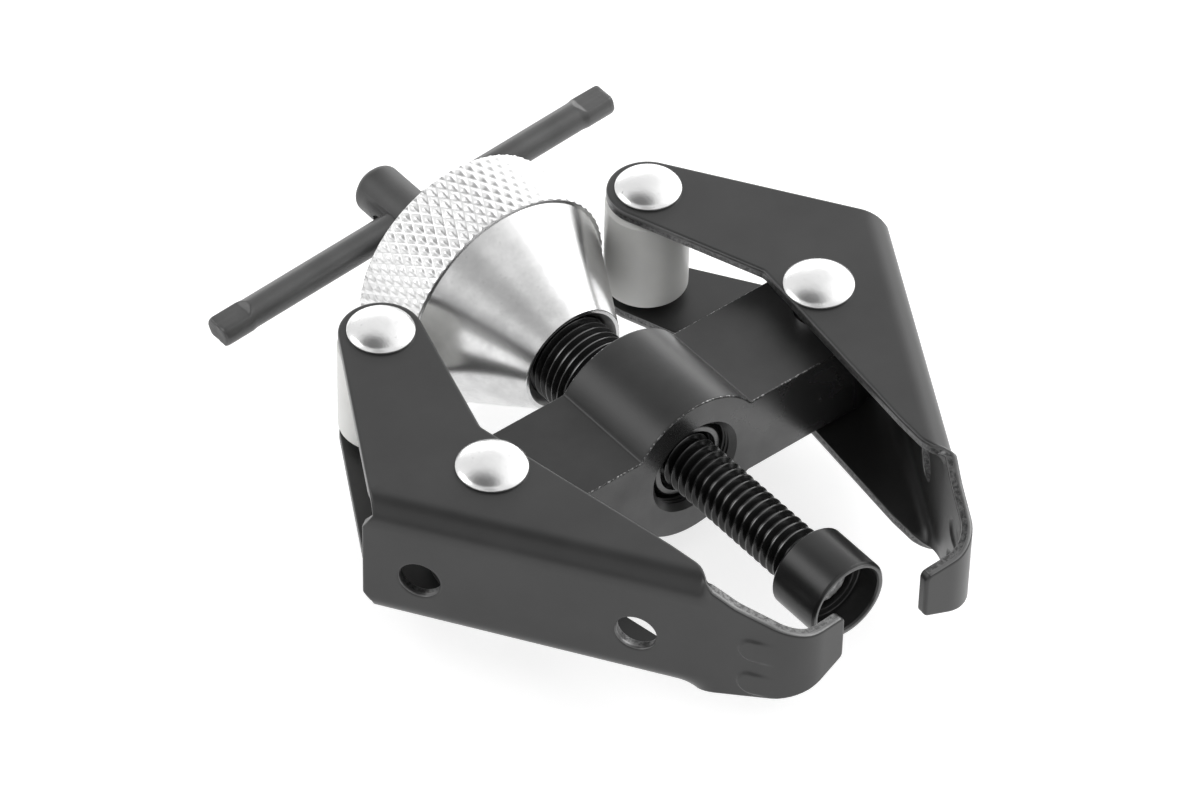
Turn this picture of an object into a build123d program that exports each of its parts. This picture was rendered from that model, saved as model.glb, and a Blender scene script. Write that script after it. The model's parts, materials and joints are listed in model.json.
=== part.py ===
"""Two-jaw cone-actuated puller: a hollow screw with a knurled cone spreads two rollers,
the pressed-steel arms swing on a crossbar and close their hooked jaws, and a forcing
screw with a swivel cup pushes along the same axis.

Frame: millimetres, origin on the screw axis at the middle of the crossbar, +Y towards the
tommy bar (the jaws point along -Y), +X along the crossbar, +Z up.
"""
import os
from math import asin, cos, radians, sin

from build123d import *

os.makedirs("parts", exist_ok=True)

# ---------------------------------------------------------------- driving dimensions
# crossbar and its boss
pivot_spacing = 70.0
crossbar_width = 20.6
crossbar_height = 16.0
boss_radius = 14.2
boss_corner_fillet = 0.8
bore_chamfer_depth = 1.0

# threads are plain cylinders on their major diameters
thread_clearance = 0.05
sleeve_thread_d = 16.0
spindle_thread_d = 10.0

# cone with a knurled rim, turning on the hollow screw
cone_front_y = 22.0
cone_rim_front_y = 40.0
cone_rear_y = 54.4
cone_small_r = 10.1
cone_large_r = 20.3
cone_rim_r = 21.1
cone_rim_chamfer = 0.8
cone_mouth_chamfer = 1.5
cone_rim_step = 0.4

# hollow screw
sleeve_front_y = -8.4
sleeve_front_chamfer = 1.0

# forcing screw and its swivel cup
cup_front_y = -49.6
cup_length = 10.8
cup_r = 7.6
cup_rim_chamfer = 0.5
cup_recess_r = 6.4
cup_recess_depth = 4.8
cup_seat_r = 5.0
cup_seat_depth = 1.4
neck_r = 3.5
peened_tip_r = 4.4
peened_tip_length = 1.2
peened_tip_taper = 0.8
neck_shoulder = 0.8
shank_step = 0.5
shank_r = 4.6
shank_start_y = 60.5
spindle_rear_y = 78.4
shank_dome = 2.0
tommy_bar_y = 67.0
bar_clearance = 0.1
tommy_bar_d = 5.4
tommy_bar_length = 85.0
tommy_bar_centre_x = 1.0
tommy_bar_tilt = 4.6
tommy_bar_flat_length = 7.0
tommy_bar_flat_thickness = 4.0
tommy_bar_flat_width = 6.2
tommy_bar_flat_corner = 1.4

# pressed channel arms, in their own frame: pivot at the origin, roller on +Y
sheet = 2.0
arm_bottom_z = -11.6
arm_top_z = 13.5
bend_outer_r = 4.5
roller_distance = 36.8
ear_r = 7.2
web_angle = 41.5
web_offset = 15.2
web_rear_s = -17.3
plate_rear_s = -15.4
flange_end_s = 43.0
waist_point = (3.2, 9.2)
flange_front_point = (18.7, -37.0)
web_hole_d = 7.0
web_hole_z = -0.8
web_hole_s = (-7.4, 29.6)
jaw_bend_s = 52.5
jaw_bend_outer_r = 8.0
jaw_bend_angle = 67.0
jaw_flare_angle = 3.0
jaw_tip_length = 5.2
jaw_tip_s = 62.5
jaw_tip_top_z = 5.0
jaw_tip_bottom_z = -3.6
jaw_run_out_s = 44.0
jaw_run_out_top_z = 11.8
jaw_run_out_bottom_z = -10.6
jaw_overlap = 4.0
jaw_upper_middle = (52.5, 8.0)
jaw_lower_middle = (55.5, -7.7)
jaw_reach = 30.0
left_arm_angle = 8.2
right_arm_angle = 11.8

# rivets and rollers
fit_clearance = 0.05
pivot_shank_r = 4.0
pivot_head_r = 6.15
roller_shank_r = 3.5
roller_head_r = 5.85
rivet_dome = 1.5
rivet_head_edge = 0.5
roller_r = 7.4
roller_low_gap = 1.4
roller_high_gap = 0.4
roller_chamfer = 0.7

# ---------------------------------------------------------------- derived sizes
half_spacing = pivot_spacing / 2
half_width = crossbar_width / 2
half_height = crossbar_height / 2
sleeve_r = sleeve_thread_d / 2
spindle_r = spindle_thread_d / 2
arm_height = arm_top_z - arm_bottom_z
channel_low_z = arm_bottom_z + sheet
channel_high_z = arm_top_z - sheet
channel_cut_length = 4 * jaw_tip_s
cup_rear_y = cup_front_y + cup_length
peened_tip_y = cup_front_y + cup_recess_depth + cup_seat_depth
web_dir = Vector(sin(radians(web_angle)), -cos(radians(web_angle)))
web_out = Vector(-cos(radians(web_angle)), -sin(radians(web_angle)))


def web_point(along, inset=0.0):
    """Point of the arm plan: a distance along the web, and inward from its outer face."""
    return web_out * (web_offset - inset) + web_dir * along


def axial_plane(y):
    """Plane across the screw axis at y, facing +Y."""
    return Plane(origin=(0, y, 0), x_dir=(1, 0, 0), z_dir=(0, 1, 0))


def dome_middle(rim_r, rise):
    """Middle point of a spherical dome's arc, as radius and height above its rim."""
    sphere_r = (rim_r**2 + rise**2) / (2 * rise)
    half_angle = asin(rim_r / sphere_r) / 2
    return sphere_r * sin(half_angle), rise - sphere_r * (1 - cos(half_angle))


def save(part, name):
    """Label a finished piece and write its STEP file."""
    part.label = name
    export_step(part, f"parts/{name}.step")


# ---------------------------------------------------------------- crossbar
with BuildPart() as crossbar:
    with BuildSketch(Plane.XY.offset(-half_height)):
        SlotCenterToCenter(pivot_spacing, crossbar_width)
    extrude(amount=crossbar_height)
    with BuildSketch(axial_plane(-half_width)):
        Circle(boss_radius)
    extrude(amount=crossbar_width)
    boss_corners = (
        crossbar.edges()
        .filter_by(Axis.Y)
        .filter_by(lambda edge: abs(abs(edge.center().Z) - half_height) < 0.01)
    )
    fillet(boss_corners, boss_corner_fillet)
    with BuildSketch(axial_plane(-half_width)):
        Circle(sleeve_r + thread_clearance)
    extrude(amount=crossbar_width, mode=Mode.SUBTRACT)
    bore_mouths = (
        crossbar.edges()
        .filter_by(GeomType.CIRCLE)
        .filter_by(lambda edge: abs(edge.radius - sleeve_r - thread_clearance) < 0.01)
    )
    chamfer(bore_mouths, bore_chamfer_depth)
    with Locations((-half_spacing, 0, half_height), (half_spacing, 0, half_height)):
        Hole(pivot_shank_r + fit_clearance, depth=crossbar_height)
save(crossbar.part, "crossbar")

# ---------------------------------------------------------------- hollow screw
with BuildPart() as threaded_sleeve:
    with BuildSketch(axial_plane(sleeve_front_y)):
        Circle(sleeve_r)
        Circle(spindle_r + thread_clearance, mode=Mode.SUBTRACT)
    extrude(amount=cone_rear_y - sleeve_front_y)
    sleeve_front_face = threaded_sleeve.faces().sort_by(Axis.Y)[0]
    chamfer(sleeve_front_face.edges().sort_by(SortBy.RADIUS)[-1], sleeve_front_chamfer)
save(threaded_sleeve.part, "threaded_sleeve")

# ---------------------------------------------------------------- knurled cone
with BuildPart() as knurled_cone:
    cone_bore_r = sleeve_r + thread_clearance
    with BuildSketch(Plane.XY):
        with BuildLine():
            Polyline(
                (cone_bore_r, cone_front_y + cone_mouth_chamfer),
                (cone_bore_r + cone_mouth_chamfer, cone_front_y),
                (cone_small_r, cone_front_y),
                (cone_large_r, cone_rim_front_y),
                (cone_rim_r, cone_rim_front_y + cone_rim_step),
                (cone_rim_r, cone_rear_y - cone_rim_chamfer),
                (cone_rim_r - cone_rim_chamfer, cone_rear_y),
                (cone_bore_r, cone_rear_y),
                close=True,
            )
        make_face()
    revolve(axis=Axis.Y)
save(knurled_cone.part, "knurled_cone")

# ---------------------------------------------------------------- forcing screw
# the cross hole and its bar stand at a small angle to the crossbar
bar_plane = Plane(
    origin=(0, tommy_bar_y, 0),
    x_dir=(0, 1, 0),
    z_dir=(cos(radians(tommy_bar_tilt)), 0, sin(radians(tommy_bar_tilt))),
)

with BuildPart() as spindle:
    tip_front_y = peened_tip_y - peened_tip_length
    with BuildSketch(Plane.XY):
        with BuildLine():
            Polyline(
                (0, tip_front_y),
                (peened_tip_r - peened_tip_taper, tip_front_y),
                (peened_tip_r, peened_tip_y - fit_clearance),
                (neck_r, peened_tip_y - fit_clearance),
                (neck_r, cup_rear_y + fit_clearance),
                (spindle_r, cup_rear_y + neck_shoulder),
                (spindle_r, shank_start_y - shank_step),
                (shank_r, shank_start_y),
                (shank_r, spindle_rear_y - shank_dome),
            )
            middle_x, middle_rise = dome_middle(shank_r, shank_dome)
            ThreePointArc(
                (shank_r, spindle_rear_y - shank_dome),
                (middle_x, spindle_rear_y - shank_dome + middle_rise),
                (0, spindle_rear_y),
            )
            Line((0, spindle_rear_y), (0, tip_front_y))
        make_face()
    revolve(axis=Axis.Y)
    with BuildSketch(bar_plane.offset(-shank_r - 1)):
        Circle(tommy_bar_d / 2 + bar_clearance)
    extrude(amount=2 * shank_r + 2, mode=Mode.SUBTRACT)
save(spindle.part, "spindle")

# ---------------------------------------------------------------- swivel cup
with BuildPart() as pressure_cup:
    with BuildSketch(axial_plane(cup_front_y)):
        Circle(cup_r)
    extrude(amount=cup_length)
    outer_rims = (
        pressure_cup.edges()
        .filter_by(GeomType.CIRCLE)
        .filter_by(lambda edge: abs(edge.radius - cup_r) < 0.01)
    )
    chamfer(outer_rims, cup_rim_chamfer)
    with BuildSketch(axial_plane(cup_front_y)):
        Circle(cup_recess_r)
    extrude(amount=cup_recess_depth, mode=Mode.SUBTRACT)
    with BuildSketch(axial_plane(cup_front_y)):
        Circle(cup_seat_r)
    extrude(amount=cup_recess_depth + cup_seat_depth, mode=Mode.SUBTRACT)
    with BuildSketch(axial_plane(cup_front_y)):
        Circle(neck_r + fit_clearance)
    extrude(amount=cup_length, mode=Mode.SUBTRACT)
save(pressure_cup.part, "pressure_cup")

# ---------------------------------------------------------------- tommy bar
with BuildPart() as tommy_bar:
    round_length = tommy_bar_length - 2 * tommy_bar_flat_length
    with BuildSketch(bar_plane.offset(tommy_bar_centre_x - round_length / 2)):
        Circle(tommy_bar_d / 2)
    extrude(amount=round_length)
    for flat_start in (-tommy_bar_length / 2, round_length / 2):
        with BuildSketch(bar_plane.offset(tommy_bar_centre_x + flat_start)):
            RectangleRounded(tommy_bar_flat_width, tommy_bar_flat_thickness, tommy_bar_flat_corner)
        extrude(amount=tommy_bar_flat_length)
save(tommy_bar.part, "tommy_bar")

# ---------------------------------------------------------------- arm, in its own frame
# the web plane has local x along the web and local y up
web_plane = Plane(origin=web_point(0), x_dir=web_dir, z_dir=web_out)
rear_corner = web_point(web_rear_s)
plate_rear_corner = web_point(plate_rear_s)
front_corner = web_point(flange_end_s)

# the strip beyond the plates: straight, then curled inwards to the jaw tip
with BuildPart() as jaw_strip:
    with BuildSketch(Plane.XY.offset(arm_bottom_z)):
        with BuildLine():
            overlap_start = web_point(flange_end_s - jaw_overlap, sheet / 2)
            Line(overlap_start, web_point(flange_end_s, sheet / 2))
            run = PolarLine(
                web_point(flange_end_s, sheet / 2),
                jaw_bend_s - flange_end_s,
                web_angle - 90 - jaw_flare_angle,
            )
            curl = JernArc(run @ 1, run % 1, jaw_bend_outer_r - sheet / 2, jaw_bend_angle)
            Line(curl @ 1, curl @ 1 + (curl % 1) * jaw_tip_length)
        trace(line_width=sheet)
    extrude(amount=arm_height)
    # seen square to the web, the strip narrows from the full channel height to the tip
    with BuildSketch(web_plane):
        with BuildLine():
            Polyline(
                (jaw_run_out_s, jaw_run_out_top_z),
                (flange_end_s - jaw_overlap, jaw_run_out_top_z),
                (flange_end_s - jaw_overlap, arm_bottom_z),
                (jaw_run_out_s, jaw_run_out_bottom_z),
            )
            ThreePointArc(
                (jaw_run_out_s, jaw_run_out_bottom_z),
                jaw_lower_middle,
                (jaw_tip_s, jaw_tip_bottom_z),
            )
            Line((jaw_tip_s, jaw_tip_bottom_z), (jaw_tip_s, jaw_tip_top_z))
            ThreePointArc(
                (jaw_tip_s, jaw_tip_top_z), jaw_upper_middle, (jaw_run_out_s, jaw_run_out_top_z)
            )
        make_face()
    extrude(amount=jaw_reach, both=True, mode=Mode.INTERSECT)

with BuildPart() as arm_blank:
    # plan of both plates: an ear round the roller rivet and a plate that narrows to the jaw
    with BuildSketch(Plane.XY.offset(arm_bottom_z)):
        with BuildLine():
            CenterArc((0, roller_distance), ear_r, 0, 360)
            Line(plate_rear_corner, waist_point)
        make_hull()
        with BuildLine():
            Polyline(rear_corner, waist_point, flange_front_point, front_corner, close=True)
        make_face()
    extrude(amount=arm_height)
    bend_edges = arm_blank.edges().filter_by(
        lambda edge: abs((edge.center() - web_point(0)).dot(web_out)) < 0.01
        and abs(edge.center().Z - (arm_top_z + arm_bottom_z) / 2) > arm_height / 2 - 0.01
    )
    fillet(bend_edges, bend_outer_r)
    # hollow of the channel, open towards the screw
    with BuildSketch(web_plane.offset(-sheet)):
        with Locations((0, (channel_high_z + channel_low_z) / 2)):
            Rectangle(channel_cut_length, channel_high_z - channel_low_z)
    extrude(amount=-2 * jaw_reach, mode=Mode.SUBTRACT)
    inner_bends = arm_blank.edges().filter_by(
        lambda edge: abs((edge.center() - web_point(0, sheet)).dot(web_out)) < 0.01
        and min(abs(edge.center().Z - channel_low_z), abs(edge.center().Z - channel_high_z)) < 0.01
    )
    fillet(inner_bends, bend_outer_r - sheet)
    add(jaw_strip.part)
    with BuildSketch(web_plane):
        with Locations([(along, web_hole_z) for along in web_hole_s]):
            Circle(web_hole_d / 2)
    extrude(amount=-2 * sheet, mode=Mode.SUBTRACT)
    with Locations((0, 0, arm_top_z)):
        Hole(pivot_shank_r, depth=arm_height)
    with Locations((0, roller_distance, arm_top_z)):
        Hole(roller_shank_r, depth=arm_height)


def rivet(shank_r, head_r):
    """Domed rivet through both plates of an arm, on the Z axis."""
    high_rim_z = arm_top_z + rivet_head_edge
    low_rim_z = arm_bottom_z - rivet_head_edge
    middle_x, middle_rise = dome_middle(head_r, rivet_dome)
    with BuildPart() as body:
        with BuildSketch(Plane.XZ):
            with BuildLine():
                ThreePointArc(
                    (0, high_rim_z + rivet_dome),
                    (middle_x, high_rim_z + middle_rise),
                    (head_r, high_rim_z),
                )
                Polyline(
                    (head_r, high_rim_z),
                    (head_r, arm_top_z),
                    (shank_r, arm_top_z),
                    (shank_r, arm_bottom_z),
                    (head_r, arm_bottom_z),
                    (head_r, low_rim_z),
                )
                ThreePointArc(
                    (head_r, low_rim_z),
                    (middle_x, low_rim_z - middle_rise),
                    (0, low_rim_z - rivet_dome),
                )
                Line((0, low_rim_z - rivet_dome), (0, high_rim_z + rivet_dome))
            make_face()
        revolve(axis=Axis.Z)
    return body.part


with BuildPart() as roller_blank:
    roller_low_z = channel_low_z + roller_low_gap
    roller_high_z = channel_high_z - roller_high_gap
    with BuildSketch(Plane.XY.offset(roller_low_z)):
        Circle(roller_r)
        Circle(roller_shank_r + fit_clearance, mode=Mode.SUBTRACT)
    extrude(amount=roller_high_z - roller_low_z)
    roller_rims = (
        roller_blank.edges()
        .filter_by(GeomType.CIRCLE)
        .filter_by(lambda edge: edge.radius > roller_r - 0.01)
    )
    chamfer(roller_rims, roller_chamfer)

roller_place = Location((0, roller_distance, 0))
arm_pieces = {
    "arm": arm_blank.part,
    "pivot_rivet": rivet(pivot_shank_r, pivot_head_r),
    "roller_rivet": roller_place * rivet(roller_shank_r, roller_head_r),
    "roller": roller_place * roller_blank.part,
}

# the left arm is the blank turned clockwise about its pivot; the right one is its mirror image
left_place = Location((-half_spacing, 0, 0), (0, 0, -left_arm_angle))
right_place = Location((-half_spacing, 0, 0), (0, 0, -right_arm_angle))
for piece_name, piece in arm_pieces.items():
    save(left_place * piece, f"left_{piece_name}")
    save(mirror(right_place * piece, about=Plane.YZ), f"right_{piece_name}")
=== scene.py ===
"""Looks of the two-jaw cone-actuated puller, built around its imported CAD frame.

Lengths in the building code are millimetres in the row frame: +Y runs along the
screws from the jaws to the sliding bar, +X along the crossbar, +Z up. Every
mesh is scaled to metres when its piece is made.
"""

import json
import math

import bmesh
import bpy
from mathutils import Matrix, Vector, noise
from mathutils.geometry import delaunay_2d_cdt


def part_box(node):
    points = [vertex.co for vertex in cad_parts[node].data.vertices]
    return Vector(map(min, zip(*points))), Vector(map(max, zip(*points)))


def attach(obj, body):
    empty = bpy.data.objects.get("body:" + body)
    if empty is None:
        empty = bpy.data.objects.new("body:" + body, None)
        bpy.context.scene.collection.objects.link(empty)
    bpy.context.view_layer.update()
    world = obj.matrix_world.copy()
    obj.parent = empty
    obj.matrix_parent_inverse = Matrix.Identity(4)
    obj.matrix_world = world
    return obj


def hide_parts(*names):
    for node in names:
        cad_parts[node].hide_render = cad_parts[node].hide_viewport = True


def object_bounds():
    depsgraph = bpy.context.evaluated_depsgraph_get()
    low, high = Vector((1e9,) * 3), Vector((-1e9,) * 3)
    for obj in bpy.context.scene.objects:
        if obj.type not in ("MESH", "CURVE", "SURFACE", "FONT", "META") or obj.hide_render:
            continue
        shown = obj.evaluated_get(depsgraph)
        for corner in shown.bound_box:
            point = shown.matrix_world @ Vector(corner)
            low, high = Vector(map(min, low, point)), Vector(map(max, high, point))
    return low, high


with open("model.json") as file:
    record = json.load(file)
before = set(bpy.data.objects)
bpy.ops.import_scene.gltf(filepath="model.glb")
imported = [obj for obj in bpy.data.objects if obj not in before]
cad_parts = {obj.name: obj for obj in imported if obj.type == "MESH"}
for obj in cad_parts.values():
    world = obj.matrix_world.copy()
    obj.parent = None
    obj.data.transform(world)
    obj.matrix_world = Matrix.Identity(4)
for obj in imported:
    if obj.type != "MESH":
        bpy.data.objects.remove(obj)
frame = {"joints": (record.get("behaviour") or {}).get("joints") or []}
cad_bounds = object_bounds()

MM = 0.001
FULL_TURN = 2 * math.pi
MERGE = 0.002  # vertices closer than this, in mm, become one
POLE = 0.001  # a ring of this radius, in mm, becomes one point on its axis
SMOOTH_ANGLE = math.radians(36)


# --- places read from the frame
def box_mm(node):
    low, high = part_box(node)
    return low / MM, high / MM


def joint(name):
    return next(entry for entry in frame["joints"] if entry["name"] == name)


def joint_place(name):
    """The point a joint turns about, in mm."""
    return Vector(joint(name)["pos_m"]) / MM


crossbar_high = box_mm("crossbar")[1]
cone_low, cone_high = box_mm("knurled_cone")
sleeve_low, sleeve_high = box_mm("threaded_sleeve")
spindle_low, spindle_high = box_mm("spindle")
cup_low, cup_high = box_mm("pressure_cup")
bar_low, bar_high = box_mm("tommy_bar")
arm_low, arm_high = box_mm("left_arm")
left_pivot = joint_place("left_arm_swing")
right_pivot = joint_place("right_arm_swing")
left_axle = joint_place("left_roller_spin")
right_axle = joint_place("right_roller_spin")
bar_direction = Vector(joint("tommy_bar_slide")["axis"]).normalized()
bar_centre = Vector((0, (bar_low.y + bar_high.y) / 2, 0))

# --- driving sizes, mm
sheet = 2.0
fit_gap = 0.05
crossbar_half_width = crossbar_high.y
boss_radius = crossbar_high.z
bar_half_height = 8.0
sleeve_radius = sleeve_high.x
spindle_radius = spindle_high.x
screw_pitch = 1.75
sleeve_pitch = 1.5
shank_radius = 4.6
shank_start_y = 60.5
cross_hole_radius = 2.8
neck_radius = 3.5
pivot_shank_radius = 4.0
pivot_head_radius = 6.15
axle_shank_radius = 3.5
axle_head_radius = 5.85


# --- shader helpers
class Nodes:
    """A node tree, with short ways to add the nodes used here."""

    def __init__(self, tree):
        self.tree = tree

    def add(self, kind, **sockets):
        node = self.tree.nodes.new(kind)
        for name, value in sockets.items():
            self.feed(node.inputs[name.replace("_", " ")], value)
        return node

    def feed(self, socket, value):
        if isinstance(value, bpy.types.NodeSocket):
            self.tree.links.new(value, socket)
        else:
            socket.default_value = value

    def compute(self, kind, operation, first, second):
        node = self.add(kind)
        node.operation = operation
        self.feed(node.inputs[0], first)
        self.feed(node.inputs[1], second)
        return node.outputs

    def remap(self, value, start=0.0, end=1.0, low=0.0, high=1.0, kind="LINEAR"):
        """value between start and end, spread between low and high."""
        reach = {"From_Min": start, "From_Max": end, "To_Min": low, "To_Max": high}
        node = self.add("ShaderNodeMapRange", Value=value, **reach)
        node.interpolation_type = kind
        return node.outputs["Result"]


class Shader(Nodes):
    """A new material's nodes."""

    def __init__(self, name):
        self.material = bpy.data.materials.new(name)
        self.material.use_nodes = True
        super().__init__(self.material.node_tree)
        self.surface = self.tree.nodes["Principled BSDF"]
        self.place = self.add("ShaderNodeTexCoord").outputs["Object"]

    def set(self, **sockets):
        for name, value in sockets.items():
            self.feed(self.surface.inputs[name.replace("_", " ")], value)

    def noise(self, scale, detail=3.0, roughness=0.55, stretch=(1, 1, 1)):
        """Noise with features about 1/scale metres across, stretched per axis."""
        mapping = self.add("ShaderNodeMapping", Vector=self.place, Scale=stretch)
        grain = {"Scale": scale, "Detail": detail, "Roughness": roughness}
        return self.add("ShaderNodeTexNoise", Vector=mapping.outputs[0], **grain).outputs["Fac"]

    def ramp(self, value, start, end):
        """Colours value between two stops, each a position and a grey or a colour."""
        node = self.add("ShaderNodeValToRGB", Fac=value)
        for element, (position, tone) in zip(node.color_ramp.elements, (start, end)):
            element.position, element.color = position, grey(tone)
        return node.outputs["Color"]

    def mix(self, factor, first, second):
        node = self.add("ShaderNodeMix")
        node.data_type = "RGBA"
        for name, value in (("Factor", factor), ("A", first), ("B", second)):
            self.feed(node.inputs[name], value)
        return node.outputs["Result"]

    def bump(self, height, depth):
        node = self.add("ShaderNodeBump", Height=height, Distance=depth * MM, Strength=1.0)
        self.set(Normal=node.outputs["Normal"])


def grey(value):
    if isinstance(value, (int, float)):
        return (value, value, value, 1.0)
    return (*value, 1.0)


def oxide(name, tone, roughness, grain=0.01, mottle=0.25, metallic=0.55):
    """Blackened steel: a dark satin coat with faint mottling and a fine grain."""
    shader = Shader(name)
    cloud = shader.noise(90, detail=4)
    fine = shader.noise(2600, detail=2)
    low, high = tone * (1 - mottle), tone * (1 + mottle)
    shader.set(
        Base_Color=shader.ramp(cloud, (0.3, low), (0.7, high)),
        Metallic=metallic,
        Roughness=shader.remap(cloud, low=roughness - 0.06, high=roughness + 0.08),
    )
    shader.bump(fine, grain)
    return shader.material


def worn_edge(name, tone, bright, share, scale, blend):
    """Blackened steel whose coat has chipped off a share of an edge, in short dashes."""
    shader = Shader(name)
    wear = shader.noise(scale, detail=3, roughness=0.7)
    chips = shader.remap(wear, 1 - share - blend / 2, 1 - share + blend / 2, kind="SMOOTHSTEP")
    fine = shader.noise(3000, detail=2)
    shader.set(
        Base_Color=shader.mix(chips, grey(tone), grey(bright)),
        Metallic=0.8,
        Roughness=0.4,
    )
    shader.bump(fine, 0.012)
    return shader.material


def zinc(name, tone, roughness, stretch=(1, 1, 1), scratch=0.004, blotch=0.12, pits=0.72):
    """Bright zinc plate with fine marks along stretch and clouded spots."""
    shader = Shader(name)
    cloud = shader.noise(160, detail=5, roughness=0.65)
    marks = shader.noise(1500, detail=3, stretch=stretch)
    grit = shader.noise(1300, detail=4, roughness=0.75)
    speck = shader.remap(grit, 0.62, 0.74, kind="SMOOTHSTEP")
    body = shader.ramp(cloud, (0.32, tone * (1 - blotch)), (0.62, tone))
    shader.set(
        Base_Color=shader.mix(speck, body, grey(tone * pits)),
        Metallic=1.0,
        Roughness=shader.remap(cloud, low=roughness + 0.1, high=roughness - 0.05),
    )
    shader.bump(marks, scratch)
    return shader.material


arm_face = oxide("arm_oxide", 0.046, 0.36, grain=0.004, mottle=0.07)
arm_edge = oxide("arm_sheared_edge", 0.15, 0.38, grain=0.02, mottle=0.4, metallic=0.85)
arm_tear = worn_edge("arm_torn_edge", 0.06, 0.17, 0.5, scale=1500, blend=0.3)
crossbar_skin = oxide("crossbar_oxide", 0.042, 0.34, grain=0.008, mottle=0.15)
crossbar_cut = oxide("crossbar_sawn_face", 0.09, 0.25, grain=0.012, mottle=0.25, metallic=0.8)
crossbar_edge = worn_edge("crossbar_worn_edge", 0.06, 0.4, 0.42, scale=1900, blend=0.2)
screw_oxide = oxide("screw_oxide", 0.02, 0.2, grain=0.003)
# Painted highlight: every thread crest gets a brighter coat, standing in for the light the crests
# catch.
screw_crest_painted_highlight = oxide("screw_crest_painted_highlight", 0.12, 0.26, grain=0.008, mottle=0.5, metallic=0.9)
cup_oxide = oxide("cup_oxide", 0.035, 0.28, grain=0.003, mottle=0.12)
cup_edge = oxide("cup_worn_rim", 0.12, 0.36, grain=0.004, mottle=0.35, metallic=0.9)
tip_metal = oxide("peened_tip", 0.4, 0.45, grain=0.12, mottle=0.6, metallic=0.9)
bar_phosphate = oxide("bar_phosphate", 0.095, 0.38, grain=0.01, mottle=0.2)
bar_sheared = oxide("bar_cropped_end", 0.1, 0.55, grain=0.05, mottle=0.4, metallic=0.8)
shank_phosphate = oxide("shank_phosphate", 0.075, 0.5, grain=0.012, mottle=0.2)
cone_zinc = zinc("cone_zinc", 0.78, 0.2, stretch=(1, 14, 1), blotch=0.2)
knurl_zinc = zinc("knurl_zinc", 0.84, 0.34, scratch=0.003, blotch=0.06)
# Painted shade: the mouth chamfer and the front of the bore are coloured much darker, standing in
# for the shade inside the mouth.
mouth_painted_shade = zinc("cone_mouth_painted_shade", 0.35, 0.35, blotch=0.4)
rivet_zinc = zinc("rivet_zinc", 0.86, 0.2, scratch=0.014, blotch=0.08, pits=0.5)


def nylon_material():
    shader = Shader("nylon")
    cloud = shader.noise(120, detail=3)
    fine = shader.noise(1800, detail=2)
    shader.set(
        Base_Color=shader.ramp(cloud, (0.3, (0.60, 0.60, 0.585)), (0.7, (0.65, 0.65, 0.635))),
        Roughness=shader.remap(cloud, low=0.34, high=0.46),
        Subsurface_Weight=0.35,
        Subsurface_Radius=(1.0, 1.0, 0.9),
        Subsurface_Scale=0.002,
    )
    shader.bump(fine, 0.006)
    return shader.material


nylon = nylon_material()


# --- mesh helpers
def smooth(value):
    """Eases value from 0 to 1, and holds it there outside that range."""
    value = min(1.0, max(0.0, value))
    return value * value * (3 - 2 * value)


def edit(mesh, change):
    """Applies change to the mesh, then turns all its faces outwards."""
    work = bmesh.new()
    work.from_mesh(mesh)
    change(work)
    bmesh.ops.recalc_face_normals(work, faces=work.faces)
    work.to_mesh(mesh)
    work.free()


def merge_doubles(work):
    """Joins doubled vertices and drops flat faces and loose vertices."""
    bmesh.ops.remove_doubles(work, verts=work.verts, dist=MERGE * MM)
    bmesh.ops.dissolve_degenerate(work, edges=work.edges, dist=MERGE * MM * 0.1)
    loose = [v for v in work.verts if not v.link_faces]
    bmesh.ops.delete(work, geom=loose, context="VERTS")


def linked(name, data):
    """A new object in the scene, with this mesh, light or camera."""
    obj = bpy.data.objects.new(name, data)
    bpy.context.scene.collection.objects.link(obj)
    return obj


def new_object(name, verts, faces, materials, indices=None):
    mesh = bpy.data.meshes.new(name)
    mesh.from_pydata([(x * MM, y * MM, z * MM) for x, y, z in verts], [], faces)
    for material in materials:
        mesh.materials.append(material)
    if indices:
        mesh.polygons.foreach_set("material_index", indices)
    edit(mesh, merge_doubles)
    return linked(name, mesh)


def finish_piece(obj, body, node, angle=SMOOTH_ANGLE):
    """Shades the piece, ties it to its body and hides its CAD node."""
    obj.data.shade_smooth()
    obj.data.set_sharp_from_angle(angle=angle)
    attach(obj, body)
    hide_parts(node)


def skin(rings, row_materials=None):
    """Quads between rings of equal length; the first and last point of a ring match."""
    verts = [point for points in rings for point in points]
    faces, indices = [], []
    count = len(rings[0])
    for row in range(len(rings) - 1):
        for column in range(count - 1):
            a = row * count + column
            faces.append((a, a + 1, a + count + 1, a + count))
            indices.append(row_materials[row] if row_materials else 0)
    return verts, faces, indices


def lofted(name, rings, materials, row_materials=None):
    verts, faces, indices = skin(rings, row_materials)
    return new_object(name, verts, faces, materials, indices)


def turns(count):
    """Angles once round a circle, the first one again at the end."""
    return [FULL_TURN * (i % count) / count for i in range(count + 1)]


def ring(radius, height, segments, centre=None):
    """A closed circle round the screw axis, or round a vertical line at centre."""
    points = []
    for turn in turns(segments):
        across, along = radius * math.sin(turn), radius * math.cos(turn)
        if centre:
            points.append((centre[0] + along, centre[1] + across, height))
        else:
            points.append((across, height, along))
    return points


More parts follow.
